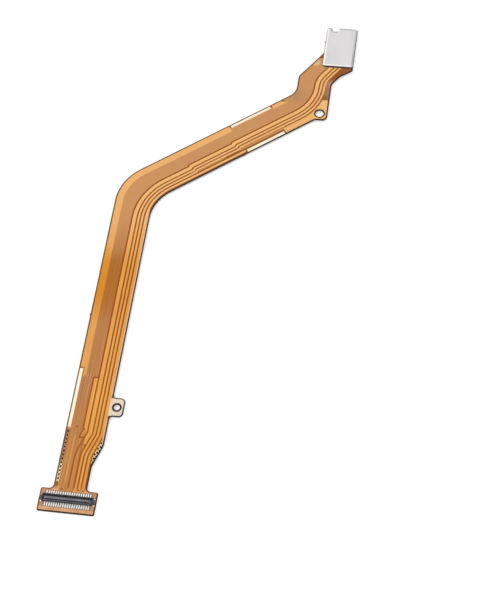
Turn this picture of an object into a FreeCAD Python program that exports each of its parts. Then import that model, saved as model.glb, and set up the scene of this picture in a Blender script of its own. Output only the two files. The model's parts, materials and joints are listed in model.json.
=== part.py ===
import FreeCAD, Part
import math
import os

# Flexible printed circuit that joins two boards. A thin dog-legged laminate lies flat: a
# tee-shaped head carries a socket on the amber side, and a paddle-shaped tail carries a plug on
# the shielded side. A steel plate backs each connector. All lengths are in millimetres.
# Working frame: X across the lower run from its outer edge, Y along it from the head's free
# edge, Z up from the underside of the base film, with the amber side on top.

V = FreeCAD.Vector
X_AXIS = V(1, 0, 0)
Y_AXIS = V(0, 1, 0)
Z_AXIS = V(0, 0, 1)

# Layers of the laminate
base_thickness = 0.05
copper_thickness = 0.018
coverlay_over_copper = 0.025
shield_thickness = 0.02
ink_thickness = 0.012
copper_edge_margin = 0.2
bare_edge_margin = 0.12
copper_gap = 0.15
sharp_below = 0.9

# Head, neck and lower run
head_width = 10.0
head_depth = 4.3
head_corner_radius = 0.3
neck_width = 5.85
neck_length = 4.7
neck_root_radius = 0.7
flare_length = 4.1
flare_radius = 3.0
lower_run_width = 7.2
lower_run_length = 64.5

# Ear with its screw hole, on the inner edge of the lower run
ear_height = 3.7
ear_reach = 2.25
ear_offset = 5.75
ear_corner_radius = 0.8
ear_root_radius = 0.5
ear_hole_diameter = 1.1
ear_hole_offset = 0.95

# Bend and upper run
bend_angle = 52.3
bend_outer_radius = 9.5
bend_inner_radius = 8.0
upper_run_width = 7.65
upper_run_length = 39.2

# Step, locating hole and climb to the tail
step_rise = 4.1
step_radius = 3.0
tail_neck_width = 6.68
locating_hole_diameter = 1.6
locating_hole_margin = 1.57
locating_hole_drop = 4.73
locating_corner_radius = 0.95
climb_angle = 34.3
climb_width = 4.3
climb_radius = 1.2
under_slope_angle = 35.0
under_slope_width = 2.3

# Tail
tail_width = 6.1
tail_side_length = 6.4
tail_corner_radius = 0.35
notch_offset = 1.65
notch_width = 1.15
notch_depth = 0.95
notch_radius = 0.5

# Stubs of the tabs that held the piece in its sheet
stub_width = 0.5
stub_height = 0.12
stub_root = 0.1
stub_tip_share = 0.5
lower_stub_place = 34.6
upper_stub_place = 19.8
tail_stub_drop = 3.6

# Copper on the amber side, measured from the outer or the inner edge
ground_band_width = 1.4
ground_band_start = 23.7
ground_band_end = 24.0
far_band_length = 3.3
far_band_width = 1.0
trace_starts = (1.1, 1.75, 2.4)
trace_widths = (0.5, 0.5, 0.8)
edge_trace_start = 0.4
edge_trace_width = 0.55
trace_flare_lag = 1.8
trace_hole_radius = 12.0
copper_under_plate = 2.0
corner_ground_rise = 3.4
trace_jog_places = (10.8, 20.4)
trace_jog = 0.3
slot_width = 0.22
slot_share = 0.55
neck_slot_start = 1.6
neck_slot_length = 8.6
run_slot_start = 11.9
run_slot_length = 9.4
feed_strip_width = 0.75
feed_strip_start = 10.1
feed_strip_length = 11.7
tongue_length = 2.0

# Plated strips that the amber film leaves bare, and the hatched ground
strip_width = 0.75
lower_strip_length = 11.8
upper_strip_length = 9.0
inner_strip_width = 0.8
inner_strip_start = 20.8
inner_strip_length = 8.4
hatch_pitch = 0.75
hatch_hole = 0.38
hatch_length = 10.2
hatch_start = 1.2
smallest_shard = 0.001
window_lip = 0.08
window_overrun = 0.3
ear_window_margin = 0.3

# Steel plates and the adhesive that holds them
plate_thickness = 0.2
adhesive_thickness = 0.05
plate_corner_radius = 0.25
head_plate_margin = 0.05
tail_plate_margin = 0.1
tail_plate_length = 9.65
tail_ledge = 0.75
adhesive_margin = 0.15

# White lines printed across the shielded side
line_width = 0.3
line_inset = 0.03
head_line_place = 5.0
tail_line_place = 1.0

# Connectors
pitch = 0.4
contact_width = 0.2
contact_thickness = 0.08
contact_proud = 0.03
pad_overhang = 0.03
end_length = 0.65
hold_down_share = 0.72
body_corner_radius = 0.1
window_clearance = 0.15
head_contacts = 20
head_seat = 2.4
head_body_width = 1.4
head_body_height = 0.5
head_foot_span = 2.8
head_wall = 0.2
head_island_width = 0.42
head_island_drop = 0.06
tail_contacts = 17
tail_seat_across = 2.12
tail_seat_down = 5.65
tail_body_width = 1.35
tail_body_height = 0.6
tail_foot_span = 2.35
tail_wall = 0.32
body_floor = 0.14
hold_down_foot = 0.28

# Levels through the thickness
copper_top = base_thickness + copper_thickness
coverlay_top = copper_top + coverlay_over_copper
rear_copper_low = -copper_thickness
rear_coverlay_low = rear_copper_low - coverlay_over_copper
shield_low = rear_coverlay_low - shield_thickness
ink_low = shield_low - ink_thickness
head_plate_low = rear_coverlay_low - adhesive_thickness - plate_thickness
tail_plate_low = coverlay_top + adhesive_thickness

# A reach beyond the part, for the shapes that trim it
beyond = 2.0 * (lower_run_length + upper_run_length)

# Places in the outline, worked out from the sizes above
run_angle = 90.0 - bend_angle
run_along = V(math.cos(math.radians(run_angle)), math.sin(math.radians(run_angle)), 0)
run_across = V(run_along.y, -run_along.x, 0)
climb_slope = math.tan(math.radians(90.0 - climb_angle))
under_slope = math.tan(math.radians(under_slope_angle))
neck_top = head_depth + neck_length
flare_top = neck_top + flare_length
ear_low = flare_top + ear_offset
ear_top = ear_low + ear_height
head_left = (neck_width - head_width) / 2.0
outer_corner = V(0, head_depth + lower_run_length, 0)
step_corner = outer_corner + run_along * upper_run_length
tail_neck_right = step_corner.x + tail_neck_width
climb_low = step_corner.y + step_rise
tail_left = step_corner.x + climb_width
climb_top = climb_low + climb_width * climb_slope
hatch_wedge_low = neck_top - trace_flare_lag
hatch_wedge_high = flare_top + trace_flare_lag / 2.0
tail_right = tail_left + tail_width
tail_top = climb_top + tail_side_length
tail_plate_bottom = tail_top - tail_plate_margin - tail_plate_length
tail_low = tail_plate_bottom - tail_ledge
copper_end = tail_plate_bottom + copper_under_plate
under_corner = V(tail_right - under_slope_width, tail_low - under_slope_width * under_slope, 0)
under_foot = under_corner.y - (under_corner.x - tail_neck_right) * climb_slope
ear_hole = V(lower_run_width + ear_hole_offset, (ear_low + ear_top) / 2.0, 0)
locating_hole = V(tail_neck_right - locating_hole_margin, step_corner.y - locating_hole_drop, 0)
pad_corner_low = locating_hole.y - locating_hole_margin
head_seat_point = V(neck_width / 2.0, head_seat, 0)
head_pad_end = head_seat + head_foot_span / 2.0 + pad_overhang
tail_seat_point = V(tail_left + tail_seat_across, tail_top - tail_seat_down, 0)


def on_run(along, across):
    """A point of the upper run, by its distances from the bend's outer corner."""
    return outer_corner + run_along * along + run_across * across


def crossing(point, direction, other, other_direction):
    """Where two lines in the plane meet."""
    gap = other - point
    span = direction.x * other_direction.y - direction.y * other_direction.x
    reach = (gap.x * other_direction.y - gap.y * other_direction.x) / span
    return point + direction * reach


def corner(point, radius=0.0):
    return (point.x, point.y, radius)


inner_edge_point = on_run(0, upper_run_width)
inner_corner = crossing(V(lower_run_width, 0, 0), Y_AXIS, inner_edge_point, run_along)
pad_corner = crossing(V(0, pad_corner_low, 0), X_AXIS, inner_edge_point, run_along)


def settled(corners, closed):
    """Where two arcs would outgrow the side between them, both radii shrink to fit it."""
    points = [V(x, y, 0) for x, y, radius in corners]
    count = len(points)
    reaches = []
    for i in range(count):
        if not closed and i in (0, count - 1):
            reaches.append(0.0)
            continue
        half = (points[i - 1] - points[i]).getAngle(points[(i + 1) % count] - points[i]) / 2.0
        reaches.append(corners[i][2] / math.tan(half))
    shares = [1.0] * count
    for i in range(count if closed else count - 1):
        after = (i + 1) % count
        asked = reaches[i] + reaches[after]
        side = 0.98 * (points[after] - points[i]).Length
        if asked > side:
            shares[i] = min(shares[i], side / asked)
            shares[after] = min(shares[after], side / asked)
    return [(x, y, radius * share) for (x, y, radius), share in zip(corners, shares)]


def path_edges(corners, closed):
    """Straight edges joined by tangent arcs through a list of (x, y, radius) corners."""
    count = len(corners)
    edges = []
    joints = []
    for i in range(count):
        x, y, radius = corners[i]
        here = V(x, y, 0)
        if radius <= 1e-6:
            joints.append((here, here))
            continue
        back = (V(corners[i - 1][0], corners[i - 1][1], 0) - here).normalize()
        ahead = (V(corners[(i + 1) % count][0], corners[(i + 1) % count][1], 0) - here).normalize()
        half = back.getAngle(ahead) / 2.0
        bisector = (back + ahead).normalize()
        start = here + back * (radius / math.tan(half))
        end = here + ahead * (radius / math.tan(half))
        middle = here + bisector * (radius / math.sin(half) - radius)
        edges.append(Part.Arc(start, middle, end).toShape())
        joints.append((start, end))
    last = count if closed else count - 1
    for i in range(last):
        start = joints[i][1]
        end = joints[(i + 1) % count][0]
        if start.distanceToPoint(end) > 1e-6:
            edges.append(Part.makeLine(start, end))
    return edges


def closed_face(corners):
    edges = path_edges(settled(corners, True), True)
    return Part.Face(Part.Wire(Part.__sortEdges__(edges)))


def slab(face, low, high):
    """A flat face raised to a solid between two levels."""
    solid = face.copy()
    solid.translate(V(0, 0, low))
    return solid.extrude(V(0, 0, high - low))


def block(centre, size_x, size_y, low, high):
    origin = V(centre.x - size_x / 2.0, centre.y - size_y / 2.0, low)
    return Part.makeBox(size_x, size_y, high - low, origin)


def block_face(centre, size_x, size_y):
    return Part.makePlane(size_x, size_y, V(centre.x - size_x / 2.0, centre.y - size_y / 2.0, 0))


def drill(centre, diameter, low, high):
    return Part.makeCylinder(diameter / 2.0, high - low, V(centre.x, centre.y, low))


def offset_path(corners, shift):
    """The same path moved sideways, to the left of travel where shift is positive."""
    points = [V(x, y, 0) for x, y, radius in corners]
    ways = [(points[i + 1] - points[i]).normalize() for i in range(len(points) - 1)]
    sides = [V(-way.y, way.x, 0) * shift for way in ways]
    moved = [corner(points[0] + sides[0])]
    for i in range(1, len(points) - 1):
        turn = ways[i - 1].x * ways[i].y - ways[i - 1].y * ways[i].x
        place = crossing(points[i] + sides[i - 1], ways[i - 1], points[i] + sides[i], ways[i])
        bulge = -shift if turn > 0 else shift
        radius = corners[i][2]
        moved.append(corner(place, max(radius + bulge, 0.0) if radius > 0 else 0.0))
    moved.append(corner(points[-1] + sides[-1]))
    return moved


def strip(path, near, far):
    """The face between two parallel offsets of a path."""
    base = settled(path, False)
    first = offset_path(base, near)
    second = offset_path(base, far)
    edges = path_edges(first, False) + path_edges(second, False)
    for end in (0, -1):
        start = V(first[end][0], first[end][1], 0)
        stop = V(second[end][0], second[end][1], 0)
        edges.append(Part.makeLine(start, stop))
    return Part.Face(Part.Wire(Part.__sortEdges__(edges)))


def outline_corners():
    """The punched outline, anticlockwise from the head's left corner."""
    head_right = head_left + head_width
    ear_right = lower_run_width + ear_reach
    notch_left = tail_left + notch_offset - notch_width / 2.0
    notch_right = notch_left + notch_width
    notch_low = tail_top - notch_depth
    return [
        (head_left, 0, head_corner_radius),
        (head_right, 0, head_corner_radius),
        (head_right, head_depth, head_corner_radius),
        (neck_width, head_depth, neck_root_radius),
        (neck_width, neck_top, flare_radius),
        (lower_run_width, flare_top, flare_radius),
        (lower_run_width, ear_low, ear_root_radius),
        (ear_right, ear_low, ear_corner_radius),
        (ear_right, ear_top, ear_corner_radius),
        (lower_run_width, ear_top, ear_root_radius),
        corner(inner_corner, bend_inner_radius),
        corner(pad_corner, locating_corner_radius),
        (tail_neck_right, pad_corner_low, locating_corner_radius),
        (tail_neck_right, under_foot, climb_radius),
        corner(under_corner, climb_radius),
        (tail_right, tail_low, tail_corner_radius),
        (tail_right, tail_top, tail_corner_radius),
        (notch_right, tail_top, tail_corner_radius),
        (notch_right, notch_low, notch_radius),
        (notch_left, notch_low, notch_radius),
        (notch_left, tail_top, tail_corner_radius),
        (tail_left, tail_top, tail_corner_radius),
        (tail_left, climb_top, climb_radius),
        (step_corner.x, climb_low, climb_radius),
        corner(step_corner, step_radius),
        corner(outer_corner, bend_outer_radius),
        (0, head_depth, neck_root_radius),
        (head_left, head_depth, head_corner_radius),
    ]


def outer_guide(start, end):
    """The outer edge from a height on the lower run to a distance along the upper run."""
    return [
        (0, start, 0.0),
        corner(outer_corner, bend_outer_radius),
        corner(on_run(end, 0)),
    ]


def inner_guide_start():
    """The inner edge as the traces follow it through the neck, flaring a little late."""
    return [
        (neck_width, head_pad_end, 0.0),
        (neck_width, neck_top + trace_flare_lag, flare_radius),
        (lower_run_width, flare_top + trace_flare_lag, flare_radius),
        corner(inner_corner, bend_inner_radius),
    ]


def inner_guide():
    """The traces' line from the head to the tail, cutting the corner behind the locating hole."""
    inner_along = (inner_corner - outer_corner).dot(run_along)
    jogs = []
    across = upper_run_width
    for place in trace_jog_places:
        jogs.append(corner(on_run(inner_along + place, across)))
        across -= trace_jog
        jogs.append(corner(on_run(inner_along + place + trace_jog, across)))
    turn = crossing(V(tail_neck_right, 0, 0), Y_AXIS, on_run(0, across), run_along)
    climb_way = V(1.0, climb_slope, 0).normalize()
    climb_foot = V(tail_neck_right, under_foot, 0)
    finish = (copper_end - under_foot) / climb_way.y
    return inner_guide_start() + jogs + [
        corner(turn, trace_hole_radius),
        corner(climb_foot, 2.0 * climb_radius),
        corner(climb_foot + climb_way * finish),
    ]


def punched(solid):
    """The screw hole and the locating hole go through every layer they meet."""
    for centre, diameter in ((ear_hole, ear_hole_diameter), (locating_hole, locating_hole_diameter)):
        solid = solid.cut(drill(centre, diameter, ink_low, tail_plate_low))
    return solid


def grown(face, margin):
    """The face with its edge moved out, or in where margin is negative, and its corners sharp."""
    return face.makeOffset2D(margin, 2)


def fused(shapes):
    first = shapes[0]
    if len(shapes) == 1:
        return first
    return first.multiFuse(shapes[1:])


def tab_stub(point, way):
    """A low trapezium on the edge at a point; the flex lies to the left of the edge's way."""
    out = V(way.y, -way.x, 0)
    root = point - out * stub_root
    tip = point + out * stub_height
    wide = way * (stub_width / 2.0)
    narrow = wide * stub_tip_share
    points = (root - wide, root + wide, tip + narrow, tip - narrow)
    return closed_face([corner(place) for place in points])


outline = closed_face(outline_corners())


def blank(low, high):
    """A whole layer: the outline with the stubs on its edge, between two levels."""
    stubs = [
        tab_stub(V(0, head_depth + lower_stub_place, 0), V(0, -1, 0)),
        tab_stub(inner_corner + run_along * upper_stub_place, run_along),
        tab_stub(V(tail_left, tail_top - tail_stub_drop, 0), V(0, -1, 0)),
    ]
    solids = [slab(stub, low, high) for stub in stubs]
    return slab(outline, low, high).multiFuse(solids).removeSplitter().Solids[0]


def copper_outline():
    """The outline for the copper planes, whose small corners are left sharp."""
    corners = [(x, y, radius if radius > sharp_below else 0.0) for x, y, radius in outline_corners()]
    return grown(closed_face(corners), -copper_edge_margin)


copper_area = copper_outline()


def row_places(count):
    """Places of one row's contacts along the connector, centred on it."""
    return [(i - (count - 1) / 2.0) * pitch for i in range(count)]


def body_length(count):
    return (count - 1) * pitch + 2.0 * end_length


def ground_band_face():
    start = ground_band_start + head_depth
    guide = outer_guide(start, ground_band_end)
    return strip(guide, -copper_edge_margin, -copper_edge_margin - ground_band_width)


def tongue_face():
    """The tongue with a slanted end that the band leaves beside the bare strip."""
    start = ground_band_start + head_depth
    right = copper_edge_margin + ground_band_width
    left = bare_edge_margin + strip_width + copper_gap
    low = start - tongue_length
    slant = low + right - left
    return closed_face([(left, low, 0), (right, slant, 0), (right, start, 0), (left, start, 0)])


def far_band_face():
    """The band again, past the upper bare strip, with a slanted end."""
    near = copper_edge_margin
    far = near + far_band_width
    start = ground_band_end + upper_strip_length + 2.0 * copper_gap
    end = start + far_band_length
    return closed_face([
        corner(on_run(start, near)), corner(on_run(end - far_band_width, near)),
        corner(on_run(end, far)), corner(on_run(start, far)),
    ])


def ground_band():
    band = slab(ground_band_face(), base_thickness, copper_top)
    band = band.fuse(slab(tongue_face(), base_thickness, copper_top)).removeSplitter()
    return Part.makeCompound([band, slab(far_band_face(), base_thickness, copper_top)])


def corner_ground():
    """Copper between the traces and the inner edge, round the locating hole."""
    start = inner_corner + run_along * (inner_strip_start + inner_strip_length + copper_gap)
    start = start - run_across * (trace_jog * len(trace_jog_places))
    guide = [corner(start)] + inner_guide()[-3:]
    beside = slab(strip(guide, trace_starts[0] - copper_gap, -upper_run_width), base_thickness, copper_top)
    high = locating_hole.y + corner_ground_rise
    allowed = slab(copper_area, base_thickness, copper_top)
    area = allowed.common(beside)
    above = V(locating_hole.x, high + beyond / 2.0, 0)
    area = area.cut(block(above, beyond, beyond, base_thickness, copper_top))
    clear = locating_hole_diameter + 2.0 * copper_edge_margin
    area = area.cut(drill(locating_hole, clear, base_thickness, copper_top))
    return max(area.Solids, key=lambda solid: solid.Volume)


def lower_strip_guide(lip):
    """The outer edge beside the lower bare strip, shorter by a lip at both ends."""
    high = ground_band_start + head_depth - copper_gap
    return [(0, high - lower_strip_length + lip, 0.0), (0, high - lip, 0.0)]


def upper_strip_guide(lip):
    start = ground_band_end + copper_gap
    return [corner(on_run(start + lip, 0)), corner(on_run(start + upper_strip_length - lip, 0))]


def inner_strip_guide(lip):
    start = inner_corner + run_along * (inner_strip_start + lip)
    return [corner(start), corner(start + run_along * (inner_strip_length - 2.0 * lip))]


def lower_strip_face():
    return strip(lower_strip_guide(0.0), -bare_edge_margin, -bare_edge_margin - strip_width)


def upper_strip_face():
    return strip(upper_strip_guide(0.0), -bare_edge_margin, -bare_edge_margin - strip_width)


def inner_strip_face():
    return strip(inner_strip_guide(0.0), bare_edge_margin, bare_edge_margin + inner_strip_width)


def strip_window_faces():
    """Openings of the amber film over the bare strips and the neck's hatch, open to the edge."""
    outer = window_lip - bare_edge_margin - strip_width
    inner = bare_edge_margin + inner_strip_width - window_lip
    return [
        strip(lower_strip_guide(window_lip), window_overrun, outer),
        strip(upper_strip_guide(window_lip), window_overrun, outer),
        strip(inner_strip_guide(window_lip), -window_overrun, inner),
        strip(hatch_guide(), window_overrun, outer),
    ]


def edge_trace_face():
    guide = inner_guide_start() + [inner_strip_guide(-copper_gap)[0]]
    return strip(guide, edge_trace_start, edge_trace_start + edge_trace_width)


def trace_faces():
    guide = inner_guide()
    return [strip(guide, start, start + width) for start, width in zip(trace_starts, trace_widths)]


def signal_traces():
    faces = trace_faces() + [edge_trace_face()]
    return Part.makeCompound([slab(face, base_thickness, copper_top) for face in faces])


def keepout(count, foot_span):
    """The rectangle round a connector that the films leave free."""
    return (
        body_length(count) + 2.0 * (hold_down_foot + window_clearance),
        foot_span + 2.0 * (pad_overhang + window_clearance),
    )


def plane_reach():
    """How far the traces keep the power plane from the inner edge."""
    return trace_starts[-1] + trace_widths[-1] + copper_gap


def feed_strip_face():
    """A strip between the plane and the traces, beside the ear."""
    near = plane_reach()
    along = strip(inner_guide_start(), near, near + feed_strip_width)
    low = head_depth + feed_strip_start
    middle = V(0, low + feed_strip_length / 2.0, 0)
    return along.common(slab(block_face(middle, beyond, feed_strip_length), -beyond, beyond)).Faces[0]


def hatch_guide():
    """The outer edge beside the neck's hatch."""
    low = head_depth + hatch_start
    return [(0, low, 0.0), (0, low + hatch_length, 0.0)]


def hatch_area():
    """Two hatched grounds: a strip beside the neck and a wedge beside the traces' late flare."""
    left = strip(hatch_guide(), -bare_edge_margin, -bare_edge_margin - strip_width)
    beside = strip(inner_guide_start(), edge_trace_start - copper_gap, -ear_reach)
    wedge = beside.common(copper_area)
    middle = V(lower_run_width / 2.0, (hatch_wedge_low + hatch_wedge_high) / 2.0, 0)
    band = block(middle, beyond, hatch_wedge_high - hatch_wedge_low, -beyond, beyond)
    return left, wedge.common(band)


def hatched(face):
    """A copper field with staggered diamond openings."""
    solid = slab(face, base_thickness, copper_top)
    box = solid.BoundBox
    rows = int(box.YLength / (hatch_pitch / 2.0)) + 2
    columns = int(box.XLength / hatch_pitch) + 2
    half = hatch_hole / math.sqrt(2.0)
    openings = []
    for row in range(rows):
        y = box.YMin + row * hatch_pitch / 2.0
        for column in range(columns):
            x = box.Center.x + (column - columns // 2 + 0.5 * (row % 2)) * hatch_pitch
            diamond = [(x - half, y, 0), (x, y - half, 0), (x + half, y, 0), (x, y + half, 0)]
            openings.append(slab(closed_face(diamond), base_thickness, copper_top))
    return solid.cut(Part.makeCompound(openings))


def ground_hatch():
    left, wedge = hatch_area()
    whole = hatched(left).Solids + hatched(wedge).Solids
    return Part.makeCompound([solid for solid in whole if solid.Volume > smallest_shard])


def plane_slot(start, length, edge):
    """A slot at a share of the plane's width, where the flex is edge wide."""
    left = bare_edge_margin + strip_width + copper_gap
    right = edge - plane_reach() - feed_strip_width
    centre = V(left + slot_share * (right - left), head_depth + start + length / 2.0, 0)
    return block(centre, slot_width, length, base_thickness, copper_top)


def power_plane():
    """The wide copper area between the outer strips and the traces."""
    area = slab(copper_area, base_thickness, copper_top)
    corridor = strip(inner_guide(), plane_reach(), -plane_reach())
    pieces = (ground_band_face(), tongue_face(), far_band_face(), lower_strip_face(), upper_strip_face())
    taken = [grown(face, copper_gap) for face in pieces + (hatch_area()[0], feed_strip_face())]
    taken.append(corridor)
    for face in taken:
        area = area.cut(slab(face, base_thickness, copper_top))
    margin = bare_edge_margin + copper_gap + strip_width
    fringe = strip(outer_guide(head_pad_end, ground_band_end), 0, -margin)
    area = area.cut(slab(fringe, base_thickness, copper_top))
    below_pads = V(0, head_pad_end - beyond / 2.0, 0)
    area = area.cut(block(below_pads, beyond, beyond, base_thickness, copper_top))
    under_plate = V(tail_left, copper_end + beyond / 2.0, 0)
    area = area.cut(block(under_plate, beyond, beyond, base_thickness, copper_top))
    area = area.cut(plane_slot(neck_slot_start, neck_slot_length, neck_width + feed_strip_width))
    area = area.cut(plane_slot(run_slot_start, run_slot_length, lower_run_width))
    return max(area.Solids, key=lambda solid: solid.Volume)


def ear_pad():
    """The bare plated ring that a grounding screw clamps."""
    left = lower_run_width - ear_window_margin
    right = lower_run_width + ear_reach - bare_edge_margin
    low = ear_low + bare_edge_margin
    high = ear_top - bare_edge_margin
    turn = ear_corner_radius - bare_edge_margin
    face = closed_face([(left, low, 0.0), (right, low, turn), (right, high, turn), (left, high, 0.0)])
    return punched(slab(face, base_thickness, copper_top))


def bare_strips():
    faces = (lower_strip_face(), upper_strip_face(), inner_strip_face())
    return [slab(face, base_thickness, copper_top) for face in faces]


def rear_ground():
    """The ground plane under the shield, cleared round the plug and the locating hole."""
    solid = slab(copper_area, rear_copper_low, 0)
    length, width = keepout(tail_contacts, tail_foot_span)
    solid = solid.cut(block(tail_seat_point, width, length, rear_copper_low, 0))
    clear = locating_hole_diameter + 2.0 * copper_edge_margin
    solid = solid.cut(drill(locating_hole, clear, rear_copper_low, 0))
    return max(punched(solid).Solids, key=lambda part: part.Volume)


def pad_blocks(count, foot_span, body_width):
    """Solder pads in the connector's own frame, under the feet and the hold-downs."""
    outer = foot_span / 2.0 + pad_overhang
    inner = body_width / 2.0 - contact_thickness
    pads = []
    for place in row_places(count):
        for side in (-1, 1):
            centre = V(place, side * (outer + inner) / 2.0, 0)
            width = contact_width + 2.0 * pad_overhang
            pads.append(block(centre, width, outer - inner, -copper_thickness, 0))
    for side in (-1, 1):
        inside = body_length(count) / 2.0 - contact_thickness
        outside = body_length(count) / 2.0 + hold_down_foot + pad_overhang
        centre = V(side * (inside + outside) / 2.0, 0, 0)
        pads.append(block(centre, outside - inside, body_width, -copper_thickness, 0))
    return pads


def across_profile(points, width, centre):
    """A bent strip: its profile lies across the connector and has the strip's width along it."""
    wire = Part.makePolygon([V(0, y, z) for y, z in points] + [V(0, points[0][0], points[0][1])])
    solid = Part.Face(wire).extrude(V(width, 0, 0))
    solid.translate(V(centre - width / 2.0, 0, 0))
    return solid


def wrap_points(outer, inner, height, foot_tip):
    """A strip that stands on its foot, climbs the wall, crosses its top and enters the cavity."""
    out = outer + contact_proud
    into = inner - contact_proud
    top = height + contact_proud
    return [
        (foot_tip, 0), (foot_tip, contact_thickness), (out, contact_thickness), (out, top), (into, top),
        (into, body_floor), (into + contact_thickness, body_floor),
        (into + contact_thickness, top - contact_thickness),
        (out - contact_thickness, top - contact_thickness), (out - contact_thickness, 0),
    ]


def spring_points(island, height, foot_tip):
    """A strip that runs from its foot under the wall and rises beside the island."""
    inside = island - contact_thickness + contact_proud
    outside = island + contact_proud
    return [
        (foot_tip, 0), (foot_tip, contact_thickness), (outside, contact_thickness),
        (outside, height), (inside, height), (inside, 0),
    ]


def turned(solid, angle):
    copy = solid.copy()
    copy.rotate(V(0, 0, 0), Z_AXIS, angle)
    return copy


def contact_row(points, count, side):
    """One row of contacts, on the far side of the connector or, turned round, on the near one."""
    strips = [across_profile(points, contact_width, place) for place in row_places(count)]
    if side < 0:
        strips = [turned(strip_solid, 180) for strip_solid in strips]
    return Part.makeCompound(strips)


def hold_downs(points, body_width):
    """A wide bent strip at each end of the body."""
    strips = []
    for angle in (-90, 90):
        strips.append(turned(across_profile(points, body_width * hold_down_share, 0.0), angle))
    return Part.makeCompound(strips)


def rounded_box(length, width, radius, low, high):
    x = length / 2.0
    y = width / 2.0
    face = closed_face([(-x, -y, radius), (x, -y, radius), (x, y, radius), (-x, y, radius)])
    return slab(face, low, high)


def row_recess(count, near, far, low, high):
    """A long recess on both sides of the connector, in which a row of contacts lies."""
    length = (count - 1) * pitch + contact_width
    first = block(V(0, (near + far) / 2.0, 0), length, far - near, low, high)
    return [first, turned(first, 180)]


def socket_parts():
    """Body, two rows and hold-downs of the socket on the head, in the connector's own frame."""
    length = body_length(head_contacts)
    foot_tip = head_foot_span / 2.0
    island = head_island_width / 2.0
    low = contact_thickness
    body = rounded_box(length, head_body_width, body_corner_radius, low, head_body_height)
    well_length = length - 2.0 * head_wall
    well_width = head_body_width - 2.0 * head_wall
    well = block(V(0, 0, 0), well_length, well_width, body_floor, head_body_height)
    groove = (well_width - head_island_width) / 2.0
    island_top = head_body_height - head_island_drop
    core_length = well_length - 2.0 * groove
    core = block(V(0, 0, 0), core_length, head_island_width, low, island_top)
    points = spring_points(island, island_top - contact_thickness, foot_tip)
    far = contact_row(points, head_contacts, 1)
    near = contact_row(points, head_contacts, -1)
    end = length / 2.0 + contact_proud
    end_top = head_body_height - contact_thickness
    end_points = [
        (length / 2.0 + hold_down_foot, 0), (length / 2.0 + hold_down_foot, contact_thickness),
        (end, contact_thickness), (end, end_top), (end - contact_thickness, end_top),
        (end - contact_thickness, 0),
    ]
    ends = hold_downs(end_points, head_body_width)
    sunk = island - contact_thickness + contact_proud
    recesses = row_recess(head_contacts, sunk, well_width / 2.0, low, head_body_height)
    body = body.cut(well).fuse(core).cut(Part.makeCompound(recesses + [ends])).removeSplitter()
    return body, far, near, ends


def plug_parts():
    """Body, two rows and hold-downs of the plug on the tail, in the connector's own frame."""
    length = body_length(tail_contacts)
    outer = tail_body_width / 2.0
    inner = outer - tail_wall
    top = tail_body_height
    body = rounded_box(length, tail_body_width, body_corner_radius, 0, top)
    cavity = block(V(0, 0, 0), length - 2.0 * tail_wall, 2.0 * inner, body_floor, top)
    points = wrap_points(outer, inner, top, tail_foot_span / 2.0)
    far = contact_row(points, tail_contacts, 1)
    near = contact_row(points, tail_contacts, -1)
    end = length / 2.0
    end_points = wrap_points(end, end - tail_wall, top, end + hold_down_foot)
    ends = hold_downs(end_points, tail_body_width)
    sunk = contact_thickness - contact_proud
    recesses = row_recess(tail_contacts, outer - sunk, outer + sunk, 0, top)
    recesses += row_recess(tail_contacts, inner, outer, top - sunk, top)
    recesses += row_recess(tail_contacts, inner, inner + sunk, body_floor, top)
    body = body.cut(cavity).cut(fused(recesses)).cut(ends).removeSplitter()
    return body, far, near, ends


def on_head(shape):
    """Puts a shape from the connector's frame onto the head's solder pads, amber side up."""
    placed = shape.copy()
    placed.translate(V(head_seat_point.x, head_seat_point.y, copper_top))
    return placed


def on_tail(shape):
    """Puts a shape from the connector's frame under the tail, turned over and along the run."""
    placed = shape.copy()
    placed.rotate(V(0, 0, 0), Y_AXIS, 180)
    placed.rotate(V(0, 0, 0), Z_AXIS, 90)
    placed.translate(V(tail_seat_point.x, tail_seat_point.y, rear_copper_low))
    return placed


def front_coverlay():
    """The amber film lies on the copper and leaves it bare in its windows."""
    solid = punched(blank(copper_top, coverlay_top))
    length, width = keepout(head_contacts, head_foot_span)
    windows = [block(head_seat_point, length, width, copper_top, coverlay_top)]
    for face in strip_window_faces() + [hatch_area()[1]]:
        windows.append(slab(face, copper_top, coverlay_top))
    ear_centre = V(lower_run_width - ear_window_margin + ear_reach, ear_hole.y, 0)
    ear_window_height = ear_height + 2.0 * ear_root_radius
    windows.append(block(ear_centre, 2.0 * ear_reach, ear_window_height, copper_top, coverlay_top))
    return solid.cut(fused(windows))


def rear_coverlay():
    """The amber film of the shielded side, with a window round the plug."""
    solid = punched(blank(rear_coverlay_low, rear_copper_low))
    length, width = keepout(tail_contacts, tail_foot_span)
    return solid.cut(block(tail_seat_point, width, length, rear_coverlay_low, rear_copper_low))


def shield_film():
    """The black film stops short of the head plate and is windowed round the plug."""
    solid = punched(blank(shield_low, rear_coverlay_low))
    below_head = V(0, head_depth - beyond / 2.0, 0)
    solid = solid.cut(block(below_head, beyond, beyond, shield_low, rear_coverlay_low))
    length, width = keepout(tail_contacts, tail_foot_span)
    return solid.cut(block(tail_seat_point, width, length, shield_low, rear_coverlay_low))


def marking_line(height):
    band = block(V(0, height, 0), beyond, line_width, ink_low, shield_low)
    return band.common(slab(grown(outline, -line_inset), ink_low, shield_low))


def head_plate_face(margin, radius):
    left = head_left + margin
    right = head_left + head_width - margin
    low = margin
    high = head_depth - margin
    corners = ((left, low), (right, low), (right, high), (left, high))
    return closed_face([(x, y, radius) for x, y in corners])


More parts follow.
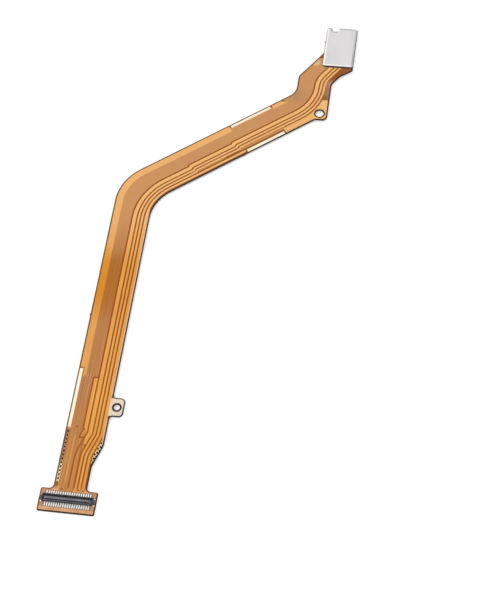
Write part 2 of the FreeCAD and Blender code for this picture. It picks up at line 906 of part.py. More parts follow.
def tail_plate_face(margin, radius, notch_round):
    """The tail plate follows the paddle's edges and its notch."""
    left = tail_left + margin
    right = tail_right - margin
    high = tail_top - margin
    low = tail_plate_bottom + margin - tail_plate_margin
    notch_left = tail_left + notch_offset - notch_width / 2.0 - margin / 2.0
    notch_right = notch_left + notch_width + margin
    notch_low = tail_top - notch_depth - margin / 2.0
    return closed_face([
        (left, low, radius), (right, low, radius), (right, high, radius), (notch_right, high, radius),
        (notch_right, notch_low, notch_round), (notch_left, notch_low, notch_round),
        (notch_left, high, radius), (left, high, radius),
    ])


def build():
    """Every piece by its name, in the working frame."""
    nodes = {}
    nodes["base_film"] = punched(blank(0, base_thickness))
    nodes["ground_band"] = ground_band()
    nodes["power_plane"] = power_plane()
    nodes["signal_traces"] = signal_traces()
    nodes["feed_strip"] = slab(feed_strip_face(), base_thickness, copper_top)
    nodes["corner_ground"] = corner_ground()
    nodes["ground_hatch"] = ground_hatch()
    names = ("lower_bare_strip", "upper_bare_strip", "inner_bare_strip")
    for name, solid in zip(names, bare_strips()):
        nodes[name] = solid
    nodes["ear_pad"] = ear_pad()
    nodes["front_coverlay"] = front_coverlay()
    nodes["rear_ground"] = rear_ground()
    nodes["rear_coverlay"] = rear_coverlay()
    nodes["shield_film"] = shield_film()
    nodes["head_marking_line"] = marking_line(head_depth + head_line_place)
    nodes["tail_marking_line"] = marking_line(step_corner.y + tail_line_place)
    head_glue = head_plate_face(head_plate_margin + adhesive_margin, 0.0)
    glue_low = rear_coverlay_low - adhesive_thickness
    nodes["head_plate_adhesive"] = slab(head_glue, glue_low, rear_coverlay_low)
    head_steel = head_plate_face(head_plate_margin, plate_corner_radius)
    nodes["head_plate"] = slab(head_steel, head_plate_low, glue_low)
    tail_glue = tail_plate_face(tail_plate_margin + adhesive_margin, 0.0, 0.0)
    nodes["tail_plate_adhesive"] = slab(tail_glue, coverlay_top, tail_plate_low)
    tail_steel = tail_plate_face(tail_plate_margin, plate_corner_radius, notch_radius)
    nodes["tail_plate"] = slab(tail_steel, tail_plate_low, tail_plate_low + plate_thickness)
    head_pads = pad_blocks(head_contacts, head_foot_span, head_body_width)
    nodes["head_solder_pads"] = on_head(Part.makeCompound(head_pads))
    body, far, near, ends = socket_parts()
    nodes["head_socket_body"] = on_head(body)
    nodes["head_far_contacts"] = on_head(far)
    nodes["head_near_contacts"] = on_head(near)
    nodes["head_hold_downs"] = on_head(ends)
    tail_pads = pad_blocks(tail_contacts, tail_foot_span, tail_body_width)
    nodes["tail_solder_pads"] = on_tail(Part.makeCompound(tail_pads))
    body, far, near, ends = plug_parts()
    nodes["tail_plug_body"] = on_tail(body)
    nodes["tail_outer_contacts"] = on_tail(far)
    nodes["tail_inner_contacts"] = on_tail(near)
    nodes["tail_hold_downs"] = on_tail(ends)
    return nodes


def write(nodes):
    """The origin is under the middle of the whole part, at the level it rests on."""
    box = Part.makeCompound(list(nodes.values())).BoundBox
    origin = V(box.Center.x, box.Center.y, box.ZMin)
    os.makedirs("parts", exist_ok=True)
    for name, shape in nodes.items():
        placed = shape.copy()
        placed.translate(origin * -1.0)
        placed.exportStep("parts/" + name + ".step")
    for name, point in (("ear hole", ear_hole), ("locating hole", locating_hole)):
        print(name, [round(value, 4) for value in point - origin])
    for name, point in (("socket", head_seat_point), ("plug", tail_seat_point)):
        print(name, [round(value, 4) for value in point - origin])
    print("size", round(box.XLength, 3), round(box.YLength, 3), round(box.ZLength, 3))
    print("levels", [round(level - origin.z, 4) for level in (shield_low, copper_top, coverlay_top)])
    for level in (head_plate_low, tail_plate_low):
        print("plate", round(level - origin.z, 4), round(level + plate_thickness - origin.z, 4))


write(build())
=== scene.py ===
"""Looks of a flexible printed circuit that lies amber side up: a laminate with copper under an
amber film, plated strips, steel plates behind both board connectors and a black shield below."""

import json
import math

import bpy
import numpy as np
from mathutils import Matrix, Vector


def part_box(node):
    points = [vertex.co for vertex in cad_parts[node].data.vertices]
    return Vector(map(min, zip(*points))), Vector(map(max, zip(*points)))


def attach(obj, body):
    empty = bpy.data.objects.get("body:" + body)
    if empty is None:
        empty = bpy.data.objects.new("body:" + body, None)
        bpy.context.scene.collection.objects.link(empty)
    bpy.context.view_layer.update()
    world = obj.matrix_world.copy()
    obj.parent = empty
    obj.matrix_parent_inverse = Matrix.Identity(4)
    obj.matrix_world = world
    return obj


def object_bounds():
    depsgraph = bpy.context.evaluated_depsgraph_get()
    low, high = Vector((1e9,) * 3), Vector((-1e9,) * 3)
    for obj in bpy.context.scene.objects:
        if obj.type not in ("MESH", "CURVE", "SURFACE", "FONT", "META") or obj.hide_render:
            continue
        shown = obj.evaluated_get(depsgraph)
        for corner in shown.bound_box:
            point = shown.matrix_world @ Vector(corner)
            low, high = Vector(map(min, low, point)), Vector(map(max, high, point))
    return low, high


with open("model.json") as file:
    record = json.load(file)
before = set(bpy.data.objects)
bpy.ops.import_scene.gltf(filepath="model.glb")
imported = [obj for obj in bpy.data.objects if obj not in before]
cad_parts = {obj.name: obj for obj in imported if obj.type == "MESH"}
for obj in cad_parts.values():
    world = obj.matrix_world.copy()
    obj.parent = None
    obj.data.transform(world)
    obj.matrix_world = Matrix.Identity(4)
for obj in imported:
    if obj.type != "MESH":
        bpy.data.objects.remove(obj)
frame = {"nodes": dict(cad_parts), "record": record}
cad_low, cad_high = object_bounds()
nodes = frame["nodes"]

MM = 0.001

# Lengths and places below are in millimetres, angles in degrees and noise scales per metre. Pairs
# that change over a distance name where the change starts and where it is complete. Sides are
# distances from the laminate's outer edge

# The two runs: the lower run's outer edge, the level of the bend's outer corner, the way that the
# upper run takes, and how far the rounding between both reaches
LOWER_EDGE = -19.67
BEND_CORNER = 14.01
UPPER_RUN_WAY = 37.7
BEND_BLEND = 3.0

# Tone of the film over Y
WARM_IN = (-19.0, -11.0)
WARM_OUT = (0.0, -5.0)
UPPER_IN = (-4.0, 7.0)
NECK_IN = (-33.0, -43.0)

# Streaks in the film: noise that is long along the run, and calmer on the upper run than on the
# lower one, with a mottle of the hue
STREAKS_ACROSS = 3100.0
STREAKS_ALONG = 60.0
STREAK_CALM = (-18.0, 6.0)
STREAK_SWING = (3.0, 0.6)
MOTTLE_SCALE = 240.0
MOTTLE_NOISE = (0.3, 0.7)
MOTTLE_HUE = (0.495, 0.505)

# Grain of every surface: its scale, the depth of its bump and the bump's strength
GRAIN_SCALE = 9000.0
GRAIN_DEPTH = 0.002
DEEP_GRAIN = 0.003
GRAIN_STRENGTH = 0.4
EVEN = (1.0, 1.0, 1.0)

# Film without copper below: where it looks like the film over the plane, up to the tail over X,
# and the painted highlight line beside the lower run's inner edge, up to the bend over Y
BAND_SIDE = (0.75, 2.35)
BEFORE_TAIL = (11.0, 10.0)
EDGE_HIGHLIGHT_SIDE = (6.8, 6.95)
EDGE_HIGHLIGHT_SOFT = 0.06
BELOW_BEND = (12.0, 5.0)

# Slots of the copper plane near the head: low corner and length
SLOT_WIDTH = 0.22
NECK_SLOTS = (((-17.946, -48.888), 8.6), ((-17.616, -38.588), 9.4))

# Places on the cover film: the head's tan over Y from the head plate's upper edge, spots as
# (point, near, far), and patches as (low corner, high corner)
HEAD_TAN = (0.9, -0.2)
DULL_SPOT = ((18.5, 39.3), 1.9, 2.6)
OLIVE_SPOT = ((17.6, 36.9), 0.1, 1.3)
INNER_STRIP_SIDE = (5.75, 6.4)
INNER_STRIP_PATCH = ((-6.0, 16.0), (9.9, 31.0))
INNER_SHADE_PATCH = ((0.3, 20.0), (1.7, 26.0))
LOWER_STRIP_END = ((-19.45, -39.1), (-18.8, -38.7))

# Places on the film over copper: the neck over Y, its brown side, a painted highlight line on the
# plane, and the shares of the relief's height between which the film turns light
NECK_BROWN = (-38.5, -41.0)
NECK_BROWN_SIDE = (0.7, 3.7)
PLANE_HIGHLIGHT_LINE = ((-16.62, -34.4), (-16.54, -30.4))
RAISED_SHARE = (0.25, 0.85)

# Fan of fine lines on the plane, along the run from the bend's corner
FAN_LENGTH = (-48.0, -42.3)
FAN_FADES = (3.0, 0.7)
FAN_TURN = (-44.4, -42.2)
FAN_SHIFT = -1.4
FAN_STEP = 0.46
FAN_SIDE = (1.8, 3.0)
FAN_SOFT = 0.3
FAN_STRENGTH = 0.6

# Faces that count as upright, by their normal's Z, and the share of a bead's reach from which its
# inner side begins
UPRIGHT = (0.6, 0.3)
INNER_SIDE = (0.8, 1.0)

# Other marks on the faces; the painted shade ring at the ear's hole is black to its first radius
# and gone at its second
PADS_END = 0.75
HATCH_END = (-46.5, -44.5)
HATCH_END_SIDE = (0.0, 1.5)
EAR_HOLE_SHADE = (0.84, 0.92)
SHIELD_DARK_PATCH = ((LOWER_EDGE, -46.0), (-9.0, -25.0))
SPRING_SHADE = 0.1

# Painted light on the middle of the head's body: its length as a share of the body's, its reach
# from the centre line as a share of the body's width, and the share of that reach on the run's
# side
LIT_MIDDLE_LENGTH = 0.93
LIT_MIDDLE_REACH = 0.38
LIT_MIDDLE_RUN_SIDE = 0.6

# Film relief over the copper
RELIEF_HEIGHT = 0.015
RELIEF_SHOULDER = 0.13
PLANE_SHOULDER = 0.16
RELIEF_STEPS = 5
RELIEF_SINK = 0.004

# Darkened bead along the cut edge of the laminate and of its holes, as painted shade, and the way
# inwards on the side where it is darkest
EDGE_INSET = 0.003
EDGE_SHOULDER = 0.03
EDGE_WIDTH = 0.23
EDGE_RISE = 0.005
EDGE_ROUNDING = 0.002
EDGE_FOOT = 0.01
EDGE_WAY = (-0.85, 0.53)

# Tented vias, from the lower run's outer edge and the free edge of the head; the section gives
# shares of the radius and of the height
VIA_RADIUS = 0.15
VIA_HEIGHT = 0.03
VIA_SIDES = 16
VIA_SECTION = ((1.0, -0.3), (0.85, 0.7), (0.7, 1.0), (0.5, 0.8), (0.25, 0.55), (0.02, 0.5))
VIA_PLACES = ((3.87, 12.9), (1.85, 16.3), (3.3, 15.9), (1.55, 4.3), (4.45, 4.35), (5.2, 4.3))

# Solder at the feet of the head's connector
FILLET_REACH = 0.06
FILLET_HEIGHT = 0.065

# Rolled lip of the tail plate, as (reach inwards, level over the plate), and the way inwards on
# its shaded side; its colour is a painted highlight that turns to painted shade on that side
LIP_WIDTH = 0.34
LIP_HEIGHT = 0.008
LIP_SECTION = (
    (0.004, -0.02), (0.03, 0.5 * LIP_HEIGHT), (0.08, LIP_HEIGHT), (LIP_WIDTH, 0.3 * LIP_HEIGHT),
    (LIP_WIDTH, -0.02),
)
LIP_WAY = (-0.8, -0.8)

# Line of bonding resin at the tail plate's lower edge, dark as painted shadow of the plate
BEAD_REACH = 0.3
BEAD_HEIGHT = 0.1
BEAD_SETBACK = 0.1
BEAD_SINK = 0.002
BEAD_END_GAP = 0.03
BEAD_END_POWER = 8
BEAD_LEAST = 1e-4
BEAD_STEPS = (40, 8)

# What counts as the same level and the same point, in metres, the least area of a triangle, in
# square metres, and the least length that a way is divided by
SAME_LEVEL = 1e-6
SAME_POINT = 1e-7
LEAST_AREA = 1e-16
LEAST_WAY = 1e-9

# Strength of the surrounding white as a light, which the camera sees at full strength, what the
# floor adds to be seen as white, its half width, and how far it lies below the part
SKY_STRENGTH = 0.57
FLOOR_LIFT = 0.36
FLOOR_HALF = 600.0
FLOOR_DROP = 0.01

# Lamps that aim at the frame's origin: place, size and power
KEY_LAMP = ((-100.0, -220.0, 420.0), 400.0, 1.0)
FILL_LAMP = ((300.0, 250.0, 380.0), 400.0, 0.3)

# Camera, from the tilt and the lens that the photo's own perspective gives
CAMERA_TILT = 31.234
CAMERA_SWING = 5.931
PLANE_TURN = 6.882
CAMERA_DISTANCE = 293.8
CAMERA_LENS = 97.4
CAMERA_AIM = (9.0, -9.91, 0.7)


def srgb(red, green, blue):
    """A colour given in 0 to 255 display steps, as linear light."""
    steps = np.array([red, green, blue]) / 255.0
    linear = np.where(steps <= 0.04045, steps / 12.92, ((steps + 0.055) / 1.055) ** 2.4)
    return (*linear.tolist(), 1.0)


WHITE = (1.0, 1.0, 1.0, 1.0)
BLACK = (0.0, 0.0, 0.0, 1.0)


# Places read from the frame


def flat_place(place):
    """The X and Y, in millimetres, of a place that the frame gives in metres."""
    return place[0] / MM, place[1] / MM


def middle(low, high):
    return (low[0] + high[0]) / 2.0, (low[1] + high[1]) / 2.0


cover_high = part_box("front_coverlay")[1]
base_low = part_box("base_film")[0]
head_plate_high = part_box("head_plate")[1]
socket_low, socket_high = (flat_place(corner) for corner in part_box("head_socket_body"))
ear_low, ear_high = (flat_place(corner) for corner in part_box("ear_pad"))
pads_low, pads_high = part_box("head_solder_pads")
tail_plate_low, tail_plate_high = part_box("tail_plate")
mount_places = {mount["name"]: flat_place(mount["pos_m"]) for mount in frame["record"]["mounts"]}

FILM_TOP = cover_high.z / MM
HEAD_TOP = head_plate_high.y / MM
EAR_CENTRE = middle(ear_low, ear_high)
SOCKET_CENTRE = middle(socket_low, socket_high)
EAR_HOLE = mount_places["ear_hole"]
LOCATING_HOLE = mount_places["locating_hole"]


# Shader trees


def fill(tree, socket, value):
    """Links an input to another node's output, or else sets it to a plain value."""
    if isinstance(value, bpy.types.NodeSocket):
        tree.links.new(value, socket)
    else:
        socket.default_value = value


def add(tree, kind, **settings):
    """A node with its settings; a setting whose name starts with in_ fills that input."""
    node = tree.nodes.new("ShaderNode" + kind)
    for key, value in settings.items():
        if key.startswith("in_"):
            fill(tree, node.inputs[key[3:].replace("_", " ")], value)
        else:
            setattr(node, key, value)
    return node


def calc(tree, operation, *values):
    """A Math node on sockets and plain numbers."""
    node = add(tree, "Math", operation=operation)
    for socket, value in zip(node.inputs, values):
        fill(tree, socket, value)
    return node.outputs[0]


def product(tree, *masks):
    """All masks multiplied in turn."""
    result = masks[0]
    for mask in masks[1:]:
        result = calc(tree, "MULTIPLY", result, mask)
    return result


def vector_calc(tree, operation, first, second):
    """A Vector Math node on two sockets or plain vectors."""
    node = add(tree, "VectorMath", operation=operation)
    fill(tree, node.inputs[0], first)
    fill(tree, node.inputs[1], second)
    return node


def colour_mix(tree, mask, first, second):
    """Mixes two colours or colour sockets by a mask socket."""
    node = add(tree, "Mix", data_type="RGBA", in_Factor=mask)
    fill(tree, node.inputs[6], first)
    fill(tree, node.inputs[7], second)
    return node.outputs[2]


def ramp(tree, value, low, high):
    """A smooth step from 0 at low to 1 at high; low may be the greater."""
    node = add(tree, "MapRange", interpolation_type="SMOOTHSTEP", in_Value=value,
               in_From_Min=low, in_From_Max=high)
    return node.outputs["Result"]


def step(tree, value, start, end):
    """A smooth step of a length in metres between two lengths in millimetres."""
    return ramp(tree, value, start * MM, end * MM)


def window(tree, value, low, high, soft):
    """1 where a length lies between low and high, 0 beyond a soft edge outside them."""
    rise = step(tree, value, low - soft, low)
    return product(tree, rise, step(tree, value, high + soft, high))


def remap(tree, value, source, target):
    """A linear map of a value from one range to another, kept inside it."""
    node = add(tree, "MapRange", in_Value=value, in_From_Min=source[0], in_From_Max=source[1],
               in_To_Min=target[0], in_To_Max=target[1])
    return node.outputs["Result"]


def noise(tree, place, scale, detail, roughness=0.5):
    node = add(tree, "TexNoise", in_Vector=place, in_Scale=scale, in_Detail=detail,
               in_Roughness=roughness)
    return node.outputs["Fac"]


def object_place(tree):
    return add(tree, "TexCoord").outputs["Object"]


def axis_value(tree, axis):
    """The object's own X, Y or Z at the shaded point."""
    return add(tree, "SeparateXYZ", in_Vector=object_place(tree)).outputs[axis]


def along_way(tree, point, way):
    """How far the shaded point lies from a point, along a way in the plane, in metres."""
    origin = (point[0] * MM, point[1] * MM, 0.0)
    shift = vector_calc(tree, "SUBTRACT", object_place(tree), origin)
    dot = vector_calc(tree, "DOT_PRODUCT", shift.outputs["Vector"], (way[0], way[1], 0.0))
    return dot.outputs["Value"]


def spot_mask(tree, point, near, far):
    """1 within near of a point in the plane, 0 beyond far."""
    flat = vector_calc(tree, "MULTIPLY", object_place(tree), (1.0, 1.0, 0.0))
    centre = (point[0] * MM, point[1] * MM, 0.0)
    gap = vector_calc(tree, "DISTANCE", flat.outputs["Vector"], centre)
    return step(tree, gap.outputs["Value"], far, near)


def patch_mask(tree, low, high, soft):
    """1 inside a rectangle between two corners, 0 beyond a soft edge outside it."""
    sides = [
        window(tree, axis_value(tree, axis), low[index], high[index], soft)
        for index, axis in enumerate("XY")
    ]
    return product(tree, *sides)


# Shader groups


def new_group(name, inputs, outputs):
    """An empty shader group with named sockets; inputs are (name, kind, default)."""
    group = bpy.data.node_groups.new(name, "ShaderNodeTree")
    for label, kind, value in inputs:
        socket = group.interface.new_socket(label, in_out="INPUT", socket_type="NodeSocket" + kind)
        socket.default_value = value
    for label, kind in outputs:
        group.interface.new_socket(label, in_out="OUTPUT", socket_type="NodeSocket" + kind)
    entry = group.nodes.new("NodeGroupInput").outputs
    return group, entry, group.nodes.new("NodeGroupOutput").inputs


def place_group(tree, group, **values):
    """A group's outputs in a tree, with its inputs filled."""
    node = tree.nodes.new("ShaderNodeGroup")
    node.node_tree = group
    for label, value in values.items():
        fill(tree, node.inputs[label], value)
    return node.outputs


def build_run_place_group():
    """Place on the laminate: across is the lesser of the distances from the outer edges of both
    runs, rounded where they meet, and along is measured beside the nearer edge."""
    group, _, result = new_group("run_place", [], [("Across", "Float"), ("Along", "Float")])
    way = math.radians(UPPER_RUN_WAY)
    corner = (LOWER_EDGE, BEND_CORNER)
    lower = along_way(group, corner, (1.0, 0.0))
    upper = along_way(group, corner, (math.sin(way), -math.cos(way)))
    on_upper = step(group, calc(group, "SUBTRACT", lower, upper), -BEND_BLEND, BEND_BLEND)
    up = along_way(group, corner, (0.0, 1.0))
    over = along_way(group, corner, (math.cos(way), math.sin(way)))
    turned = product(group, on_upper, calc(group, "SUBTRACT", over, up))
    fill(group, result["Across"], calc(group, "SMOOTH_MIN", lower, upper, BEND_BLEND * MM))
    fill(group, result["Along"], calc(group, "ADD", up, turned))
    return group


RUN_PLACE = build_run_place_group()


def build_film_tone_group():
    """The film's tone along the cable: four colours from the neck to the tail, mixed by smooth
    steps over Y, and brighter or darker streaks of noise that is long along the run."""
    colours = [(label, "Color", WHITE) for label in ("Neck", "Lower", "Warm", "Upper")]
    group, entry, result = new_group(
        "film_tone", [*colours, ("Streak", "Float", 0.1)], [("Color", "Color")])
    height = axis_value(group, "Y")
    warm = product(group, step(group, height, *WARM_IN), step(group, height, *WARM_OUT))
    tone = colour_mix(group, warm, entry["Lower"], entry["Warm"])
    tone = colour_mix(group, step(group, height, *UPPER_IN), tone, entry["Upper"])
    tone = colour_mix(group, step(group, height, *NECK_IN), tone, entry["Neck"])
    place = place_group(group, RUN_PLACE)
    spot = add(group, "CombineXYZ", in_X=product(group, place["Across"], STREAKS_ACROSS),
               in_Y=product(group, place["Along"], STREAKS_ALONG))
    streaks = noise(group, spot.outputs["Vector"], 1.0, 3.0, 0.6)
    swing = remap(group, height, [end * MM for end in STREAK_CALM], STREAK_SWING)
    swing = product(group, calc(group, "SUBTRACT", streaks, 0.5), swing)
    light = calc(group, "MULTIPLY_ADD", swing, entry["Streak"], 1.0)
    mottle = noise(group, object_place(group), MOTTLE_SCALE, 2.0)
    hue = remap(group, mottle, MOTTLE_NOISE, MOTTLE_HUE)
    streaked = add(group, "HueSaturation", in_Color=tone, in_Hue=hue, in_Value=light)
    fill(group, result["Color"], streaked.outputs["Color"])
    return group


def build_drift_group():
    """Slow drift between two colours: noise through a smooth step."""
    group, entry, result = new_group(
        "slow_colour_drift",
        [("First", "Color", WHITE), ("Second", "Color", BLACK), ("Scale", "Float", 90.0),
         ("Low", "Float", 0.35), ("High", "Float", 0.65)],
        [("Color", "Color")],
    )
    mapping = add(group, "Mapping", in_Vector=object_place(group), in_Scale=(1.6, 0.55, 1.0))
    cloud = noise(group, mapping.outputs["Vector"], entry["Scale"], 2.0)
    mask = ramp(group, cloud, entry["Low"], entry["High"])
    fill(group, result["Color"], colour_mix(group, mask, entry["First"], entry["Second"]))
    return group


def build_grain_group():
    """Fine grain: small noise that gives a roughness between two values and a height."""
    group, entry, result = new_group(
        "fine_grain",
        [("Scale", "Float", GRAIN_SCALE), ("Stretch", "Vector", EVEN), ("Smooth", "Float", 0.3),
         ("Rough", "Float", 0.45)],
        [("Roughness", "Float"), ("Height", "Float")],
    )
    mapping = add(group, "Mapping", in_Vector=object_place(group), in_Scale=entry["Stretch"])
    grains = noise(group, mapping.outputs["Vector"], entry["Scale"], 3.0, 0.6)
    roughness = remap(group, grains, (0.0, 1.0), (entry["Smooth"], entry["Rough"]))
    fill(group, result["Roughness"], roughness)
    fill(group, result["Height"], grains)
    return group


def build_wall_shade_group():
    """Darkens a colour on the faces that stand upright: painted shade on the sides of a sheet."""
    group, entry, result = new_group(
        "upright_painted_shade", [("Color", "Color", WHITE), ("Wall", "Color", BLACK)], [("Color", "Color")])
    normal = add(group, "TexCoord").outputs["Normal"]
    slope = calc(group, "ABSOLUTE", add(group, "SeparateXYZ", in_Vector=normal).outputs["Z"])
    upright = ramp(group, slope, *UPRIGHT)
    fill(group, result["Color"], colour_mix(group, upright, entry["Color"], entry["Wall"]))
    return group


FILM_TONE = build_film_tone_group()
DRIFT = build_drift_group()
GRAIN = build_grain_group()
WALL_SHADE_GROUP = build_wall_shade_group()


# Colours and masks of the laminate

# Painted shade for the upright faces of the laminate
WALL_SHADE_COLOUR = srgb(70, 42, 22)
DARK_FILM = {
    "Neck": srgb(160, 88, 16),
    "Lower": srgb(160, 86, 12),
    "Warm": srgb(152, 80, 8),
    "Upper": srgb(146, 84, 22),
}
PLANE_FILM = {
    "Neck": srgb(191, 127, 70),
    "Lower": srgb(190, 127, 76),
    "Warm": srgb(178, 109, 40),
    "Upper": srgb(208, 149, 94),
}
BAND_FILM = {
    "Neck": srgb(198, 136, 72),
    "Lower": srgb(231, 164, 86),
    "Warm": srgb(221, 143, 34),
    "Upper": srgb(243, 180, 112),
}
TRACE_FILM = {
    "Neck": srgb(229, 159, 72),
    "Lower": srgb(236, 166, 82),
    "Warm": srgb(233, 161, 70),
    "Upper": srgb(249, 187, 118),
}

# Spots on the film over copper, as (point, near, far, colour)
BAND_SPOTS = (
    ((10.6, 36.2), 0.2, 1.6, srgb(196, 148, 104)),
    ((16.9, 35.2), 0.5, 1.6, srgb(246, 196, 124)),
    ((16.7, 31.95), 0.1, 0.8, srgb(204, 164, 118)),
)
PLANE_SPOTS = (
    ((11.5, 37.3), 0.2, 2.8, srgb(192, 144, 98)),
    ((14.5, 45.8), 0.5, 1.05, srgb(230, 190, 138)),
)
SPOT_DRIFT = 0.92

# Spots on the cut edge's painted shade, nearly black there, as (point, near, far, inner colour)
EDGE_SPOTS = (
    (EAR_CENTRE, 2.2, 2.6, srgb(236, 220, 196)),
    (EAR_HOLE, 0.95, 1.0, srgb(30, 20, 16)),
    (LOCATING_HOLE, 1.2, 1.4, srgb(60, 42, 26)),
)


def drifting(tree, first, second, scale):
    """A colour that drifts to a near one."""
    return place_group(tree, DRIFT, First=first, Second=second, Scale=scale)["Color"]


def wall_shaded(tree, colour, wall_shade):
    """A colour socket with its upright faces in another colour, as painted shade."""
    return place_group(tree, WALL_SHADE_GROUP, Color=colour, Wall=wall_shade)["Color"]


def film_tone(tree, tones, streak):
    return place_group(tree, FILM_TONE, Streak=streak, **tones)["Color"]


def across_mask(tree, low, high, soft=0.1):
    """1 where the distance from the outer edge lies between low and high."""
    return window(tree, place_group(tree, RUN_PLACE)["Across"], low, high, soft)


def low_film_tone(tree, streak):
    """The film where no copper lifts it: dark, but like the plane's beside the outer band, and
    light along the inner edge of the lower run, where a highlight is painted."""
    dark = film_tone(tree, DARK_FILM, streak)
    before_tail = step(tree, axis_value(tree, "X"), *BEFORE_TAIL)
    beside_band = product(tree, across_mask(tree, *BAND_SIDE), before_tail)
    tone = colour_mix(tree, beside_band, dark, film_tone(tree, PLANE_FILM, streak))
    below_bend = step(tree, axis_value(tree, "Y"), *BELOW_BEND)
    # Painted highlight: a light line beside the lower run's inner edge
    edge_highlight = product(tree, across_mask(tree, *EDGE_HIGHLIGHT_SIDE, EDGE_HIGHLIGHT_SOFT), below_bend)
    return colour_mix(tree, edge_highlight, tone, srgb(244, 194, 138))


# Materials


def new_material(name, metallic=0.0, coat=0.0, coat_roughness=0.2, specular=0.5):
    """A material with one Principled shader; gives the material, its tree and that shader."""
    material = bpy.data.materials.new(name)
    material.use_nodes = True
    tree = material.node_tree
    shader = tree.nodes["Principled BSDF"]
    shader.inputs["Metallic"].default_value = metallic
    shader.inputs["Coat Weight"].default_value = coat
    shader.inputs["Coat Roughness"].default_value = coat_roughness
    shader.inputs["Specular IOR Level"].default_value = specular
    return material, tree, shader


def dress(tree, shader, colour, smooth, rough, grain_scale=GRAIN_SCALE, depth=GRAIN_DEPTH,
          stretch=EVEN):
    """Gives a shader its colour and a fine grain, whose roughness runs from smooth to rough and
    whose bump has that depth."""
    grain = place_group(
        tree, GRAIN, Scale=grain_scale, Stretch=stretch, Smooth=smooth, Rough=rough)
    bump = add(tree, "Bump", in_Strength=GRAIN_STRENGTH, in_Distance=depth * MM,
               in_Height=grain["Height"])
    fill(tree, shader.inputs["Base Color"], colour)
    fill(tree, shader.inputs["Roughness"], grain["Roughness"])
    fill(tree, shader.inputs["Normal"], bump.outputs["Normal"])


def plain_finish(name, first, second, scale=400.0, smooth=0.3, rough=0.45, metallic=0.0,
                 specular=0.5, wall_shade=None, **grain):
    """A finish of one colour that drifts to a near one, with a fine grain."""
    material, tree, shader = new_material(name, metallic, specular=specular)
    colour = drifting(tree, first, second, scale)
    if wall_shade:
        colour = wall_shaded(tree, colour, wall_shade)
    dress(tree, shader, colour, smooth, rough, **grain)
    return material


def cover_film_material():
    """Amber film with bonding resin under it: dark over bare laminate, tan at the head, gold in
    the slots of the copper plane and dull beside the tail's traces."""
    material, tree, shader = new_material("amber_cover_film", coat=0.08, specular=0.2)
    colour = low_film_tone(tree, 0.2)
    for (low, length), tint in zip(NECK_SLOTS, (srgb(214, 152, 86), srgb(186, 126, 74))):
        high = (low[0] + SLOT_WIDTH, low[1] + length)
        colour = colour_mix(tree, patch_mask(tree, low, high, 0.06), colour, tint)
    tan = drifting(tree, srgb(222, 170, 126), srgb(208, 150, 102), 380.0)
    at_head = step(tree, axis_value(tree, "Y"), *(HEAD_TOP + shift for shift in HEAD_TAN))
    colour = colour_mix(tree, at_head, colour, tan)
    dull = drifting(tree, srgb(192, 140, 104), srgb(170, 118, 82), 500.0)
    colour = colour_mix(tree, spot_mask(tree, *DULL_SPOT), colour, dull)
    colour = colour_mix(tree, spot_mask(tree, *OLIVE_SPOT), colour, srgb(140, 106, 62))
    for patch, soft, tint in (
        (INNER_STRIP_PATCH, 0.4, srgb(200, 138, 78)),
        (INNER_SHADE_PATCH, 1.2, srgb(142, 80, 34)),
    ):
        beside = across_mask(tree, *INNER_STRIP_SIDE)
        mask = product(tree, beside, patch_mask(tree, *patch, soft))
        colour = colour_mix(tree, mask, colour, tint)
    strip_end = patch_mask(tree, *LOWER_STRIP_END, 0.05)
    colour = colour_mix(tree, strip_end, colour, srgb(204, 146, 84))
    dress(tree, shader, wall_shaded(tree, colour, WALL_SHADE_COLOUR), 0.3, 0.44, grain_scale=7000.0)
    return material


def fan_lines(tree, colour):
    """Fine light and dark lines that run down the plane: waves of the distance from the outer
    edge, shifted where the place along the run nears the band's end."""
    place = place_group(tree, RUN_PLACE)
    shift = product(tree, step(tree, place["Along"], *FAN_TURN), FAN_SHIFT * MM)
    shifted = calc(tree, "ADD", place["Across"], shift)
    wave = calc(tree, "SINE", product(tree, shifted, 2.0 * math.pi / (FAN_STEP * MM)))
    low, high = FAN_LENGTH
    inside = product(
        tree,
        step(tree, place["Along"], low, low + FAN_FADES[0]),
        step(tree, place["Along"], high + FAN_FADES[1], high),
        across_mask(tree, *FAN_SIDE, FAN_SOFT),
        FAN_STRENGTH,
    )
    for start, end, tint in ((0.2, 0.9, srgb(226, 168, 118)), (-0.3, -0.9, srgb(148, 88, 56))):
        mask = product(tree, ramp(tree, wave, start, end), inside)
        colour = colour_mix(tree, mask, colour, tint)
    return colour


def raised_film_material(name, tones, streak, spots=(), metallic=0.05, fan=False):
    """Film over copper: light on the raised top, dark where the film slopes down beside it."""
    material, tree, shader = new_material(
        name, metallic, coat=0.06, coat_roughness=0.18, specular=0.15)
    light = film_tone(tree, tones, streak)
    at_neck = step(tree, axis_value(tree, "Y"), *NECK_BROWN)
    brown = product(tree, at_neck, across_mask(tree, *NECK_BROWN_SIDE))
    light = colour_mix(tree, brown, light, film_tone(tree, PLANE_FILM, 0.42))
    if fan:
        light = fan_lines(tree, light)
        # Painted highlight: a light line along the plane's edge
        plane_highlight = patch_mask(tree, *PLANE_HIGHLIGHT_LINE, 0.06)
        light = colour_mix(tree, plane_highlight, light, srgb(246, 200, 150))
    for point, near, far, tint in spots:
        mottled = drifting(tree, tint, tuple(SPOT_DRIFT * value for value in tint), 700.0)
        light = colour_mix(tree, spot_mask(tree, point, near, far), light, mottled)
    dark = low_film_tone(tree, streak)
    levels = (FILM_TOP + share * RELIEF_HEIGHT for share in RAISED_SHARE)
    raised = step(tree, axis_value(tree, "Z"), *levels)
    colour = colour_mix(tree, raised, dark, light)
    dress(tree, shader, colour, 0.28, 0.42, grain_scale=6000.0)
    return material


